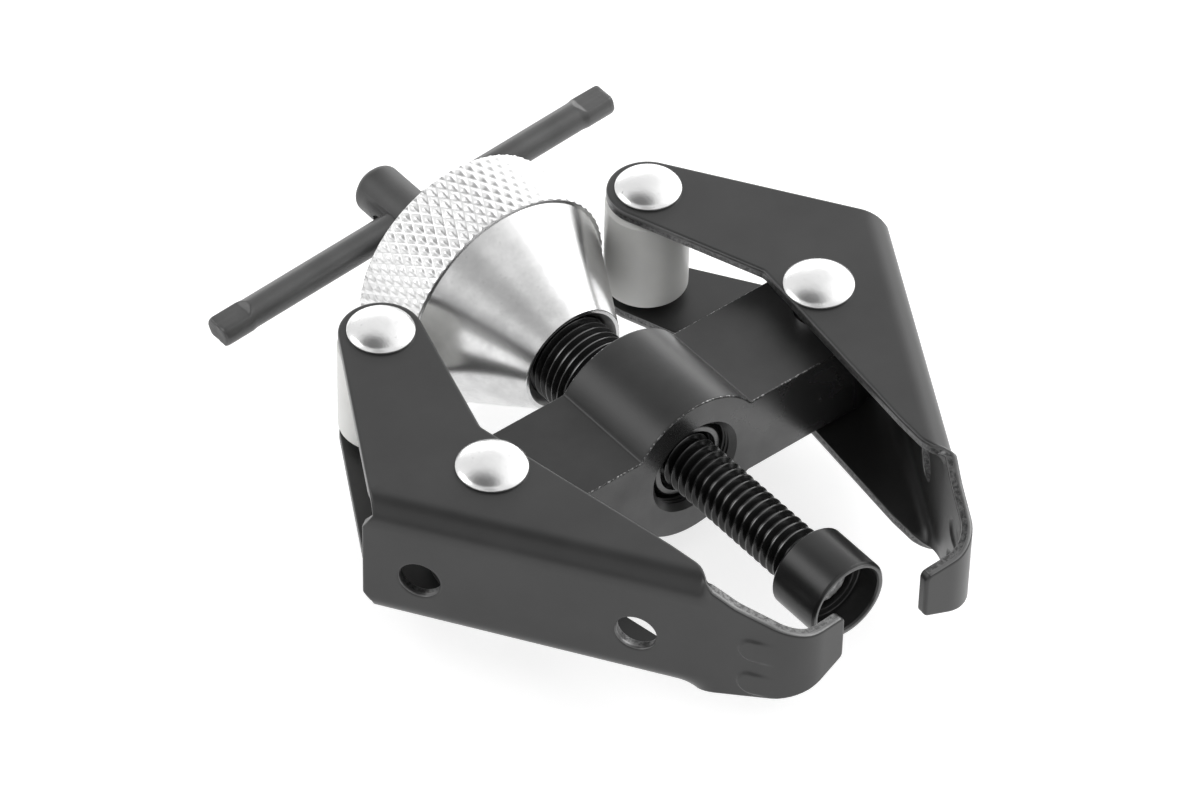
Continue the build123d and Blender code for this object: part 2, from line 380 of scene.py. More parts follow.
def rounded_path(points, closed=False, step=15.0, support=0.12):
    """A path through (x, y, radius) corners, each corner an arc of step degrees a piece.

    A support point just past each end of an arc keeps the flats beside it flat
    when they are shaded smooth.
    """
    path = []
    count = len(points)
    for i, point in enumerate(points):
        here = Vector(point[:2])
        radius = point[2]
        end = not closed and i in (0, count - 1)
        if end or radius <= 0:
            path.append(here)
            continue
        before = Vector(points[i - 1][:2]) - here
        after = Vector(points[(i + 1) % count][:2]) - here
        back, ahead = before.normalized(), after.normalized()
        turn = math.pi - before.angle(after)
        reach = radius * math.tan(turn / 2)
        reach = min(reach, 0.48 * before.length, 0.48 * after.length)
        radius = reach / math.tan(turn / 2)
        start, stop = here + back * reach, here + ahead * reach
        centre = here + (back + ahead).normalized() * math.hypot(radius, reach)
        pieces = max(2, math.ceil(math.degrees(turn) / step))
        if before.length > reach + 2 * support:
            path.append(start + back * support)
        first, last = start - centre, stop - centre
        sweep = math.atan2(first.x * last.y - first.y * last.x, first.dot(last))
        for k in range(pieces + 1):
            path.append(centre + Matrix.Rotation(sweep * k / pieces, 2) @ first)
        if after.length > reach + 2 * support:
            path.append(stop + ahead * support)
    return [tuple(p) for p in path]


def turned(name, profile, materials, segments=96, material_at=None, centre=None):
    """A piece turned from a closed (radius, height) profile, round Y or a Z line."""
    path = profile + [profile[0]]
    rings = [ring(r, h, segments, centre) for r, h in path]
    rows = None
    if material_at:
        rows = []
        for (r0, h0), (r1, h1) in zip(path, path[1:]):
            rows.append(material_at((r0 + r1) / 2, (h0 + h1) / 2))
    return lofted(name, rings, materials, rows)


def thread_rings(radius, pitch, start, end, segments, run_out=1.2):
    """Rings that follow a helical thread; its crests sink away at both ends.

    Each pitch has a flat root, two flanks and a narrow crest with broken corners.
    Returns the rings, which rows are crests (they take the painted crest highlight), and the
    root's radius.
    """
    depth = 0.6 * pitch
    corner = 0.05 * pitch
    shape = ((0.0, depth), (0.22, depth), (0.53, corner), (0.57, 0.0), (0.68, 0.0), (0.72, corner))
    rings, crests = [], []
    for turn in range(-1, math.ceil((end - start) / pitch) + 1):
        for share, drop in shape:
            points = []
            for i, angle in enumerate(turns(segments)):
                y = start + pitch * (turn + share + i / segments)
                y = min(max(y, start), end)
                fade = min(1.0, (y - start) / run_out, (end - y) / run_out)
                r = radius - (depth - (depth - drop) * smooth(fade))
                points.append((r * math.sin(angle), y, r * math.cos(angle)))
            rings.append(points)
            crests.append(1 if share in (0.53, 0.57, 0.68) else 0)
    return rings, crests[:-1], radius - depth


# --- sheet-metal arms
web_angle = math.radians(41.5)
web_offset = 15.2
web_middle_z = (arm_high.z + arm_low.z) / 2
bend_radius = 3.5
outer_bend_radius = bend_radius + sheet / 2
web_half_height = (arm_high.z - arm_low.z) / 2 - outer_bend_radius
bend_length = bend_radius * math.pi / 2
plate_start = web_half_height + bend_length
web_rear_s = -17.3
plate_rear_s = -15.4
waist_s, waist_n = -4.77, 23.69
ear_s, ear_n, ear_radius = -27.56, 39.58, 7.2
ear = Vector((ear_s, ear_n))
upper_bend_end_s, upper_bend_ease = 39.7, 2.7
lower_bend_end_s, lower_bend_ease = 36.6, 7.0
jaw_flare_s = 43.0
jaw_flare = math.radians(3)
jaw_flare_blend = 3.0
jaw_curl_s = 52.5
jaw_curl_radius = 7.0
jaw_curl = math.radians(67)
jaw_end_s = jaw_curl_s + jaw_curl_radius * jaw_curl + 5.2
track_step = 0.1
web_hole_radius = 3.5
web_hole_a = -1.75
web_hole_s = (-7.4, 29.6)
gusset_start_s, gusset_end_s = 46.9, 53.6
gusset_middles = (1.35, -6.25)
gusset_half_width = 2.6
gusset_height = 0.42
gusset_rim = 0.22
outline_spacing = 0.9


def flange_a(n):
    """Distance round the bend from mid-web to a plate point n in from the web's outer face."""
    if n >= outer_bend_radius:
        return plate_start + n - outer_bend_radius
    turn = math.acos((outer_bend_radius - n) / outer_bend_radius)
    return web_half_height + bend_radius * turn


def heading(s):
    """How far the web has turned inwards at s."""
    if s < jaw_curl_s:
        share = (s - jaw_flare_s) / jaw_flare_blend + 0.5
        return -jaw_flare * min(1.0, max(0.0, share))
    return -jaw_flare + min(jaw_curl, (s - jaw_curl_s) / jaw_curl_radius)


def web_track():
    """Mid-surface points of the web every track_step, as (along, outwards)."""
    along, out = 0.0, web_offset - sheet / 2
    points = [(along, out)]
    for i in range(math.ceil((jaw_end_s + 1) / track_step)):
        turn = heading((i + 0.5) * track_step)
        along += math.cos(turn) * track_step
        out -= math.sin(turn) * track_step
        points.append((along, out))
    return points


track = web_track()


def web_point(s):
    if s <= 0:
        return s, web_offset - sheet / 2
    i = int(s / track_step)
    share = s / track_step - i
    (x0, y0), (x1, y1) = track[i], track[i + 1]
    return x0 + (x1 - x0) * share, y0 + (y1 - y0) * share


def gusset(s, a):
    """Height of the two pads pressed outwards at the root of the hook."""
    total = 0.0
    for middle in gusset_middles:
        across = abs(a - middle) / gusset_half_width
        if across >= 1 or not gusset_start_s < s < gusset_end_s:
            continue
        nose = gusset_start_s + gusset_half_width
        if s < nose:
            across = math.hypot(across, (nose - s) / gusset_half_width)
        rim = smooth((1 - across) / gusset_rim)
        fade = 1 - smooth((s - nose) / (gusset_end_s - nose))
        total += gusset_height * rim * fade
    return total


def bend_share(s, side):
    """How much of a plate's bend there is at s: all of it, and none in the hook."""
    if side > 0:
        return 1 - smooth((s - upper_bend_end_s) / upper_bend_ease)
    return 1 - smooth((s - lower_bend_end_s) / lower_bend_ease)


def fold(s, a, t):
    """Where a point of the flat sheet goes, relative to the pivot: t is -1 inside, 1 outside."""
    side = 1 if a >= 0 else -1
    a = abs(a)
    rise, outward, turn = a, gusset(s, side * a), 0.0
    full = bend_share(s, side) * math.pi / 2
    if a > web_half_height and full > 0.001:
        beyond = a - web_half_height
        radius = bend_length / full
        straight = max(0.0, beyond - bend_length)
        turn = full * min(1.0, beyond / bend_length)
        rise = web_half_height + radius * math.sin(turn) + straight * math.cos(turn)
        outward -= radius * (1 - math.cos(turn)) + straight * math.sin(turn)
    rise += t * math.sin(turn)
    outward += t * math.cos(turn)
    turn = heading(s)
    along, out = web_point(s)
    along += math.sin(turn) * outward
    out += math.cos(turn) * outward
    x = -math.cos(web_angle) * out + math.sin(web_angle) * along
    y = -math.sin(web_angle) * out - math.cos(web_angle) * along
    return x, y, web_middle_z + side * rise


def tangent_points():
    """Where the plate's rear and inner edges meet the round ear, as (s, n)."""
    found = []
    for start, side in ((Vector((plate_rear_s, 0.0)), 1), (Vector((waist_s, waist_n)), -1)):
        away = ear - start
        lean = math.asin(ear_radius / away.length)
        reach = math.sqrt(away.length_squared - ear_radius**2)
        found.append(start + Matrix.Rotation(side * lean, 2) @ away.normalized() * reach)
    return found


def half_outline():
    """Corners of the developed blank on the a > 0 side, rear edge to tip: (s, a, radius)."""
    rear, inner = tangent_points()
    corners = [(web_rear_s, web_half_height - 0.4, 0.8)]
    bend_steps, ear_steps = 8, 32
    for i in range(1, bend_steps + 1):
        n = outer_bend_radius * i / bend_steps
        share = n / rear.y
        corners.append((plate_rear_s + (rear.x - plate_rear_s) * share, flange_a(n), 0.0))
    start = math.atan2(rear.y - ear.y, rear.x - ear.x)
    stop = math.atan2(inner.y - ear.y, inner.x - ear.x)
    if stop > start:
        stop -= FULL_TURN
    for i in range(ear_steps + 1):
        turn = start + (stop - start) * i / ear_steps
        s = ear.x + ear_radius * math.cos(turn)
        corners.append((s, flange_a(ear.y + ear_radius * math.sin(turn)), 0.0))
    corners.append((waist_s, flange_a(waist_n), 2.5))
    return corners


# Corners past the plates, (s, a, radius): the plate's rounded nose, the pinch and the hook.
blank_top_tail = (
    (32.9, 17.0, 6.0),
    (38.6, 14.3, 5.0),
    (40.72, 11.9, 0.3),
    (42.1, 11.8, 1.0),
    (46.2, 9.5, 8.0),
    (53.0, 7.5, 16.0),
    (58.5, 5.5, 10.0),
    (65.9, 4.6, 1.3),
)
blank_low_tail = (
    (32.9, 17.0, 6.0),
    (37.4, 14.7, 5.0),
    (40.6, 12.0, 4.0),
    (46.0, 10.7, 8.0),
    (54.0, 8.7, 12.0),
    (58.8, 7.3, 8.0),
    (65.9, 4.5, 1.2),
)


def blank_outline():
    top = half_outline() + list(blank_top_tail)
    low = half_outline() + list(blank_low_tail)
    corners = top + [(s, -a, r) for s, a, r in reversed(low)]
    path = rounded_path(corners, closed=True, step=9.0, support=0.0)
    return resampled(path, outline_spacing)


def resampled(path, spacing):
    """The closed path with no stretch longer than spacing and no doubled point."""
    points = []
    for i, point in enumerate(path):
        here, there = Vector(point), Vector(path[(i + 1) % len(path)])
        gap = (there - here).length
        if gap < 0.02:
            continue
        pieces = max(1, math.ceil(gap / spacing))
        for k in range(pieces):
            points.append(here.lerp(there, k / pieces))
    return points


def circle_points(s, a, radius, count=48):
    points = []
    for turn in turns(count)[:-1]:
        points.append(Vector((s + radius * math.cos(turn), a + radius * math.sin(turn))))
    return points


def inset(loop, distance):
    """The loop moved to its left by distance."""
    moved = []
    count = len(loop)
    for i, point in enumerate(loop):
        run = (loop[(i + 1) % count] - loop[i - 1]).normalized()
        moved.append(point + Vector((-run.y, run.x)) * distance)
    return moved


def signed_area(loop):
    total = 0.0
    for i, point in enumerate(loop):
        following = loop[(i + 1) % len(loop)]
        total += point.x * following.y - following.x * point.y
    return total / 2


def inside(point, loop):
    found = False
    count = len(loop)
    for i in range(count):
        a, b = loop[i], loop[(i + 1) % count]
        if (a.y > point.y) != (b.y > point.y):
            cross = a.x + (point.y - a.y) * (b.x - a.x) / (b.y - a.y)
            if point.x < cross:
                found = not found
    return found


def in_metal(point, loops):
    return inside(point, loops[0]) and not any(inside(point, hole) for hole in loops[1:])


def clearance(point, loop):
    """Distance from point to the loop's nearest vertex; loops are sampled finely."""
    return min((point - other).length_squared for other in loop) ** 0.5


edge_rows = (
    # (inset, t) across a sheared edge, from the rounded outer side to the inner one
    (0.62, 1.0),
    (0.46, 1.0),
    (0.27, 0.95),
    (0.13, 0.85),
    (0.04, 0.68),
    (0.0, 0.45),
    (0.0, 0.15),
    (0.05, 0.0),
    (0.02, -0.78),
    (0.08, -0.93),
    (0.16, -1.0),
    (0.32, -1.0),
)
# Which of the arm's materials each row takes: face, sheared edge or torn edge. The
# hook's end, up to tip_face back from it, is coated like the faces.
edge_materials = (0, 0, 0, 1, 1, 1, 2, 2, 1, 0, 0)
tip_face = 0.7


# Where the sample points inside the blank lie, and their spacing.
grid_start_s = web_rear_s - 12
plates_start_s = -36.0
plate_row_spacing = 4.0
coarse_spacing = 2.5
bend_spacing = 0.8
close_bend_s = 26.0
plates_end_s = 47.0
hook_grid_s = 39.6
pinch_end_s = 44.0
hook_half_height = 13.0
fine_spacing = 0.25
hook_spacing = 0.6
hook_row_spacing = 0.9


def grid_points(loops, margin):
    """Sample points inside the blank: close rows in the bends and the hook, few elsewhere."""
    points = []

    def add_row(row, spacing, start, end):
        column = start
        while column < end:
            for side in (1, -1):
                points.append(Vector((column, side * row)))
            column += spacing

    add_row(0.6, coarse_spacing, grid_start_s, plates_end_s)
    add_row(web_half_height - 2.0, coarse_spacing, grid_start_s, plates_end_s)
    bend_rows, plate_rows = 12, 8
    for i in range(bend_rows + 1):
        row = web_half_height - 0.15 + (bend_length + 0.3) * i / bend_rows
        add_row(row, coarse_spacing, grid_start_s, close_bend_s)
        add_row(row, bend_spacing, close_bend_s, plates_end_s)
    for i in range(plate_rows):
        row = plate_start + 1.2 + plate_row_spacing * i
        add_row(row, coarse_spacing, plates_start_s, plates_end_s)
    column = hook_grid_s
    while column < jaw_end_s:
        fine = gusset_start_s - 0.6 < column < gusset_end_s or column < pinch_end_s
        height = -hook_half_height
        while height < hook_half_height:
            points.append(Vector((column, height)))
            height += fine_spacing if fine else hook_row_spacing
        column += fine_spacing if fine else hook_spacing

    def fits(point):
        return in_metal(point, loops) and all(clearance(point, p) >= margin for p in loops)

    return [point for point in points if fits(point)]


def blank_loops():
    """The outline anticlockwise and the holes clockwise, so that inset always goes into metal."""
    outline = blank_outline()
    if signed_area(outline) < 0:
        outline.reverse()
    spots = []
    for side in (1, -1):
        spots.append((0.0, side * flange_a(web_offset), pivot_shank_radius + fit_gap))
        spots.append((ear_s, side * flange_a(ear_n), axle_shank_radius + fit_gap))
    for s in web_hole_s:
        spots.append((s, web_hole_a, web_hole_radius))
    return [outline] + [circle_points(*spot)[::-1] for spot in spots]


def flat_blank():
    """Triangles of the blank's inside, and its edge loops, all in the flat sheet."""
    loops = blank_loops()
    inner = [inset(loop, edge_rows[0][0]) for loop in loops]
    extra = grid_points(inner, margin=0.35)
    coords, edges = [], []
    for loop in inner:
        first = len(coords)
        coords.extend(loop)
        for i in range(len(loop)):
            edges.append((first + i, first + (i + 1) % len(loop)))
    coords.extend(extra)
    found = delaunay_2d_cdt(coords, edges, [], 0, 1e-4)
    flat, triangles = found[0], found[2]
    kept = []
    for triangle in triangles:
        middle = sum((flat[i] for i in triangle), Vector((0, 0))) / 3
        if in_metal(middle, inner):
            kept.append(tuple(triangle))
    return loops, flat, kept


def arm_mesh():
    """Vertices (s, a, t), faces and materials of the pressing, before it is folded."""
    loops, flat, triangles = flat_blank()
    verts, faces, indices = [], [], []
    for t in (1.0, -1.0):
        first = len(verts)
        verts.extend((p.x, p.y, t) for p in flat)
        for triangle in triangles:
            corners = tuple(first + i for i in triangle)
            faces.append(corners if t > 0 else corners[::-1])
            indices.append(0)
    for loop in loops:
        rows = []
        for distance, t in edge_rows + ((edge_rows[0][0], -1.0),):
            rows.append([(p.x, p.y, t) for p in inset(loop, distance)])
        count = len(loop)
        first = len(verts)
        for row in rows:
            verts.extend(row)
        for r in range(len(rows) - 1):
            for i in range(count):
                k = (i + 1) % count
                a, b = first + r * count, first + (r + 1) * count
                faces.append((a + i, b + i, b + k, a + k))
                cut = r < len(edge_materials) and loop[i].x < jaw_end_s - tip_face
                indices.append(edge_materials[r] if cut else 0)
    return verts, faces, indices


blank_verts, blank_faces, blank_materials = arm_mesh()


def make_arm(name, body, node, pivot, axle):
    """Folds the blank and hangs it on its pivot; the right arm is a mirror image."""
    mirror = 1 if axle.x > pivot.x else -1
    lean = math.atan2(mirror * (axle.x - pivot.x), axle.y - pivot.y)
    verts = []
    for s, a, t in blank_verts:
        x, y, z = fold(s, a, t)
        turned_x = x * math.cos(lean) + y * math.sin(lean)
        turned_y = -x * math.sin(lean) + y * math.cos(lean)
        verts.append((pivot.x + mirror * turned_x, pivot.y + turned_y, z))
    materials = [arm_face, arm_edge, arm_tear]
    obj = new_object(name, verts, blank_faces, materials, blank_materials)
    finish_piece(obj, body, node, math.radians(50))


make_arm("left_arm_pressing", "left_jaw", "left_arm", left_pivot, left_axle)
make_arm("right_arm_pressing", "right_jaw", "right_arm", right_pivot, right_axle)


# --- crossbar
def boolean(obj, cutter, operation):
    """Applies an exact boolean and removes the cutter."""
    modifier = obj.modifiers.new("cut", "BOOLEAN")
    modifier.object = cutter
    modifier.operation = operation
    modifier.solver = "EXACT"
    modifier.material_mode = "TRANSFER"
    graph = bpy.context.evaluated_depsgraph_get()
    mesh = bpy.data.meshes.new_from_object(obj.evaluated_get(graph))
    old = obj.data
    obj.modifiers.clear()
    obj.data = mesh
    bpy.data.meshes.remove(old)
    bpy.data.objects.remove(cutter)


edge_break = 0.2
boss_junction_radius = 0.9


def crossbar_outline():
    """The forging seen along the screw: a bar with a round boss, as (x, z)."""
    junction_x = math.sqrt(boss_radius**2 - bar_half_height**2)
    end_x = crossbar_high.x + 2
    start = math.atan2(bar_half_height, junction_x)
    upper = [(end_x, bar_half_height, 0.0), (junction_x, bar_half_height, boss_junction_radius)]
    pieces = 40
    for i in range(1, pieces):
        turn = start + (math.pi - 2 * start) * i / pieces
        upper.append((boss_radius * math.cos(turn), boss_radius * math.sin(turn), 0.0))
    upper += [(-junction_x, bar_half_height, boss_junction_radius), (-end_x, bar_half_height, 0.0)]
    lower = [(-x, -z, r) for x, z, r in upper]
    path = rounded_path(upper + lower, closed=True, step=20.0, support=0.0)
    return [Vector(p) for p in path]


def make_crossbar():
    outline = crossbar_outline()
    half = crossbar_half_width
    shares = ((2, 0), (1, 0), (0.3, 0.3), (0, 1), (0, 2))
    front = [(edge_break * inwards, edge_break * back - half) for inwards, back in shares]
    rows = front + [(distance, -y) for distance, y in reversed(front)]
    kinds = (1, 2, 2, 0, 0, 0, 2, 2, 1)
    verts, faces, indices = [], [], []
    count = len(outline)
    for distance, y in rows:
        verts.extend((p.x, y, p.y) for p in inset(outline, distance))
    for row, kind in enumerate(kinds):
        for i in range(count):
            k = (i + 1) % count
            a, b = row * count, (row + 1) * count
            faces.append((a + i, a + k, b + k, b + i))
            indices.append(kind)
    faces.append(tuple(range(count)))
    last = (len(rows) - 1) * count
    faces.append(tuple(last + i for i in reversed(range(count))))
    indices += [1, 1]
    materials = [crossbar_skin, crossbar_cut, crossbar_edge]
    obj = new_object("crossbar_forging", verts, faces, materials, indices)
    boolean(obj, stadium_cutter(materials), "INTERSECT")
    boolean(obj, bore_cutter(materials), "DIFFERENCE")
    for pivot in (left_pivot, right_pivot):
        boolean(obj, pivot_hole_cutter(pivot, materials), "DIFFERENCE")
    finish_piece(obj, "frame", "crossbar")


def pivot_hole_cutter(pivot, materials):
    """A hole for a rivet's shank, slightly flared at both mouths."""
    shank, flare = pivot_shank_radius + fit_gap, pivot_shank_radius + 0.8
    end, flare_start = bar_half_height + 1.0, 7.4
    hole = [(POLE, -end), (flare, -end), (shank, -flare_start)]
    hole += [(shank, flare_start), (flare, end), (POLE, end)]
    return turned("cutter", hole, materials, 64, centre=(pivot.x, pivot.y))


def stadium_cutter(materials):
    """The bar's plan shape: straight sides left alone, half-round ends cut."""
    radius = crossbar_half_width
    loop = [(left_pivot.x, radius + 2), (left_pivot.x, radius)]
    for i in range(1, 32):
        turn = math.pi / 2 + math.pi * i / 32
        loop.append((left_pivot.x + radius * math.cos(turn), radius * math.sin(turn)))
    loop += [(left_pivot.x, -radius), (left_pivot.x, -radius - 2)]
    loop += [(-x, -y) for x, y in loop]
    count = len(loop)
    top = boss_radius + 4
    verts = [(x, y, -top) for x, y in loop] + [(x, y, top) for x, y in loop]
    faces = [tuple(range(count)), tuple(range(2 * count - 1, count - 1, -1))]
    for i in range(count):
        k = (i + 1) % count
        faces.append((i, k, count + k, count + i))
    return new_object("cutter", verts, faces, materials)


def bore_cutter(materials):
    """The bore: a chamfered mouth at each face and a few turns of thread inside it."""
    bore = sleeve_radius + fit_gap
    half = crossbar_half_width
    chamfer = 1.0
    profile = [(POLE, -half - 1), (bore + chamfer + 1, -half - 1), (bore, -half + chamfer)]
    for i in range(2):
        y = -half + chamfer + 0.15 + i * 0.75
        profile += [(bore, y), (bore + 0.4, y + 0.3), (bore, y + 0.6)]
    profile += [(bore, half - chamfer), (bore + chamfer + 1, half + 1), (POLE, half + 1)]
    return turned("cutter", profile, materials, 96)


make_crossbar()


# --- hollow screw
def make_sleeve():
    segments = 96
    front, rear = sleeve_low.y, sleeve_high.y
    chamfer = 1.0
    inner = spindle_radius + fit_gap
    rings, kinds, root = thread_rings(
        sleeve_radius, sleeve_pitch, front + 0.3, rear - 0.05, segments, run_out=1.6
    )
    nose = [
        (inner, front + 1.2),
        (inner + 0.75, front + 0.12),
        (inner + 0.85, front),
        (root - 0.45, front),
        (root - 0.3, front + 0.05),
    ]
    head = [ring(r, y, segments) for r, y in nose]
    tail = [ring(r, rear, segments) for r in (root - 0.2, inner)]
    tail.append(ring(inner, front + 1.2, segments))
    kinds = [0, 1, 1, 1, 0] + kinds + [0, 0, 0]
    obj = lofted("hollow_screw", head + rings + tail, [screw_oxide, screw_crest_painted_highlight], kinds)
    finish_piece(obj, "hollow_screw", "threaded_sleeve")


make_sleeve()

# --- cone with its knurled rim
rim_front_y = 39.9
rim_rear_y = cone_high.y - 0.4
rim_radius = cone_high.x
knurl_root = rim_radius - 0.42
knurl_sunk = knurl_root - 0.35
cone_bore = sleeve_radius + fit_gap
cone_small_radius = 10.1
cone_large_radius = 20.15


def make_cone():
    front, rear = cone_low.y, cone_high.y
    corners = [
        (cone_bore, rear - 1.2, 0),
        (cone_bore, front + 1.5, 0.2),
        (cone_bore + 1.35, front + 0.05, 0.15),
        (cone_small_radius, front, 0.18),
        (cone_large_radius, rim_front_y - 0.2, 0.1),
        (knurl_root, rim_front_y, 0.1),
        (knurl_root, rim_rear_y, 0.05),
        (knurl_root - 0.3, rear, 0.15),
        (cone_bore + 5.2, rear, 0.3),
        (cone_bore + 4.6, rear - 0.5, 0.3),
        (cone_bore + 1.2, rear - 0.5, 0.2),
    ]
    profile = rounded_path(corners, closed=True)

    # The mouth and the front of the bore take the darker zinc, which is painted shade.
    def kind(radius, y):
        return 1 if y < front + 1.6 and radius < cone_small_radius - 0.6 else 0

    obj = turned("cone_body", profile, [cone_zinc, mouth_painted_shade], 160, kind)
    finish_piece(obj, "cone", "knurled_cone")


knurl_starts = 62
knurl_lean = math.radians(30)
knurl_spacing = FULL_TURN * rim_radius / knurl_starts / math.tan(knurl_lean)
# Shares of the spacing between two grooves: the mesh's rows, and half the width of a
# point's flat top and of a groove's floor.
knurl_samples = (0.0, 0.07, 0.2, 0.35, 0.5, 0.65, 0.8, 0.93)
knurl_flat = 0.08
knurl_groove = 0.05
knurl_crown = 0.18  # how far a point falls off towards its corners, as a share
knurl_wander = 0.1  # how much the points differ in height, as a share
rim_ragged = 0.22  # how far the knurl's front edge wanders


def knurl_height(share):
    """0 in a groove, 1 on top, for a place between two grooves of one family."""
    distance = min(share, 1 - share)
    return min(1.0, max(0.0, distance - knurl_groove) / (0.5 - knurl_flat - knurl_groove))


def knurl_y(u, v):
    return rim_front_y + knurl_spacing * (u - v) / 2


def knurl_point(u, v):
    """The place on the rim u and v grooves along the two crossing families."""
    turn = math.pi * (u + v) / knurl_starts
    east, north = math.cos(turn), math.sin(turn)
    y = knurl_y(u, v)
    height = min(knurl_height(u % 1), knurl_height(v % 1))
    crown = 1 - knurl_crown * ((abs(u % 1 - 0.5) * 2) ** 2 + (abs(v % 1 - 0.5) * 2) ** 2) / 2
    wobble = noise.noise(Vector((east * 9, north * 9, y * 0.9)))
    height *= crown * (0.92 + knurl_wander * wobble)
    ragged = rim_ragged * noise.noise(Vector((east * 30, north * 30, 3.7)))
    front = rim_front_y + max(0.0, ragged)
    y = min(max(y, front), rim_rear_y)
    edge = min(1.0, 0.45 + (y - front) / 0.9, 0.6 + (rim_rear_y - y) / 0.8)
    radius = knurl_root + 0.02 + (rim_radius - knurl_root - 0.02) * min(1, height) * edge
    return radius * north, y, radius * east


def make_knurl():
    """A rolled diamond knurl: its mesh follows both families of grooves."""
    samples = len(knurl_samples)
    around = knurl_starts * samples
    reach = math.ceil((rim_rear_y - rim_front_y) / knurl_spacing * 2) * samples
    verts, faces, lookup = [], [], {}

    def coordinate(i):
        return i // samples + knurl_samples[i % samples]

    def grooves(i, k):
        """Grooves passed in each family at mesh row i of one and i - k of the other."""
        return coordinate(i % around), coordinate(i % around - k)

    def vertex(i, k):
        key = (i % around, k)
        if key not in lookup:
            lookup[key] = len(verts)
            verts.append(knurl_point(*grooves(i, k)))
        return lookup[key]

    for i in range(around):
        for k in range(-samples, reach + samples):
            corners = ((i, k), (i + 1, k + 1), (i + 1, k), (i, k - 1))
            levels = [knurl_y(*grooves(*corner)) for corner in corners]
            if max(levels) > rim_front_y and min(levels) < rim_rear_y:
                faces.append(tuple(vertex(*corner) for corner in corners))
    obj = new_object("cone_knurl", verts, faces, [knurl_zinc])
    edit(obj.data, sink_border)
    finish_piece(obj, "cone", "knurled_cone", math.radians(28))


def sink_border(work):
    """Grows a wall from the knurl's open edges down to knurl_sunk."""
    border = [edge for edge in work.edges if edge.is_boundary]
    for item in bmesh.ops.extrude_edge_only(work, edges=border)["geom"]:
        if isinstance(item, bmesh.types.BMVert):
            scale = knurl_sunk * MM / math.hypot(item.co.x, item.co.z)
            item.co.x *= scale
            item.co.z *= scale


make_cone()
make_knurl()


# --- forcing screw
def make_spindle_thread():
    segments = 80
    start, end = cup_high.y + 0.15, shank_start_y
    rings, kinds, _ = thread_rings(spindle_radius, screw_pitch, start, end, segments)
    rings = [ring(POLE, start, segments)] + rings + [ring(POLE, end, segments)]
    kinds = [0] + kinds + [0]
    obj = lofted("forcing_screw_thread", rings, [screw_oxide, screw_crest_painted_highlight], kinds)
    finish_piece(obj, "forcing_screw", "spindle")


def roughened(obj, amount, scale, keep):
    """Moves vertices along their normals by noise where keep(co) is true."""
    for vert in obj.data.vertices:
        if keep(vert.co / MM):
            wave = noise.fractal(vert.co / MM * scale, 0.8, 2.0, 3)
            vert.co += vert.normal * wave * amount * MM
    obj.data.update()


def make_spindle_tip():
    """The neck that passes through the cup, and the peened button that holds it there."""
    front = spindle_low.y
    corners = [
        (POLE, front + 0.5, 0),
        (1.2, front + 0.35, 0.2),
        (2.0, front + 0.02, 0.4),
        (3.5, front + 0.05, 0.4),
        (4.35, front + 0.75, 0.3),
        (4.3, front + 1.14, 0.1),
        (neck_radius - 0.02, front + 1.14, 0.05),
        (neck_radius - 0.02, cup_high.y + 0.3, 0.05),
        (POLE, cup_high.y + 0.3, 0),
    ]
    profile = rounded_path(corners, step=12)
    obj = turned("forcing_screw_peened_tip", profile, [tip_metal], 64)
    roughened(obj, 0.16, 1.1, lambda co: co.y < front + 0.9)
    finish_piece(obj, "forcing_screw", "spindle")


def make_spindle_shank():
    rear = spindle_high.y
    corners = [
        (POLE, shank_start_y - 1.0, 0),
        (shank_radius - 0.5, shank_start_y - 1.0, 0.1),
        (shank_radius, shank_start_y - 0.2, 0.3),
        (shank_radius, rear - 1.9, 1.5),
        (shank_radius - 1.7, rear - 0.45, 1.6),
        (1.0, rear - 0.02, 2.0),
        (POLE, rear - 0.02, 0),
    ]
    profile = rounded_path(corners, step=10)
    obj = turned("forcing_screw_shank", profile, [shank_phosphate], 80)
    cutter = turned(
        "cutter",
        [(POLE, -9), (cross_hole_radius + 3.2, -9), (cross_hole_radius, -4.1)]
        + [(cross_hole_radius, 4.1), (cross_hole_radius + 3.2, 9), (POLE, 9)],
        [shank_phosphate],
        64,
    )
    cutter.data.transform(place_along(bar_direction, bar_centre))
    boolean(obj, cutter, "DIFFERENCE")
    finish_piece(obj, "forcing_screw", "spindle")


def place_along(direction, centre):
    """The matrix that takes local +Y to direction, keeps local X level and moves to centre."""
    level = Vector((0, 1, 0))
    up = direction.cross(level).normalized()
    turn = Matrix((level, direction, up)).transposed().to_4x4()
    return Matrix.Translation(centre * MM) @ turn


make_spindle_thread()
make_spindle_tip()
make_spindle_shank()

# --- swivel cup
cup_recess_radius = 6.4
cup_recess_depth = 4.8
cup_seat_radius = 5.0
cup_seat_depth = 1.4


def make_cup():
    front, rear, radius = cup_low.y, cup_high.y, cup_high.x
    floor = front + cup_recess_depth
    seat = floor + cup_seat_depth
    hole = neck_radius + fit_gap
    corners = [
        (radius, front + 0.5, 0.2),
        (radius - 0.4, front, 0.12),
        (cup_recess_radius + 0.32, front, 0.12),
        (cup_recess_radius, front + 0.5, 0.2),
        (cup_recess_radius, floor, 0.3),
        (cup_seat_radius, floor, 0.15),
        (cup_seat_radius, seat, 0.15),
        (hole, seat, 0.1),
        (hole, rear, 0.2),
        (radius - 0.5, rear, 0.15),
        (radius, rear - 0.5, 0.2),
    ]
    profile = rounded_path(corners, closed=True, step=18)

    def kind(r, y):
        return 1 if y < front + 0.12 and r > cup_recess_radius + 0.2 else 0

    obj = turned("swivel_cup", profile, [cup_oxide, cup_edge], 128, kind)
    finish_piece(obj, "cup", "pressure_cup")


make_cup()

# --- sliding bar
bar_radius = 2.7
bar_length = 85.0
bar_middle = 1.0
flat_length = 5.4
flat_blend = 1.7
flat_thickness = 3.9
flat_width = 5.9


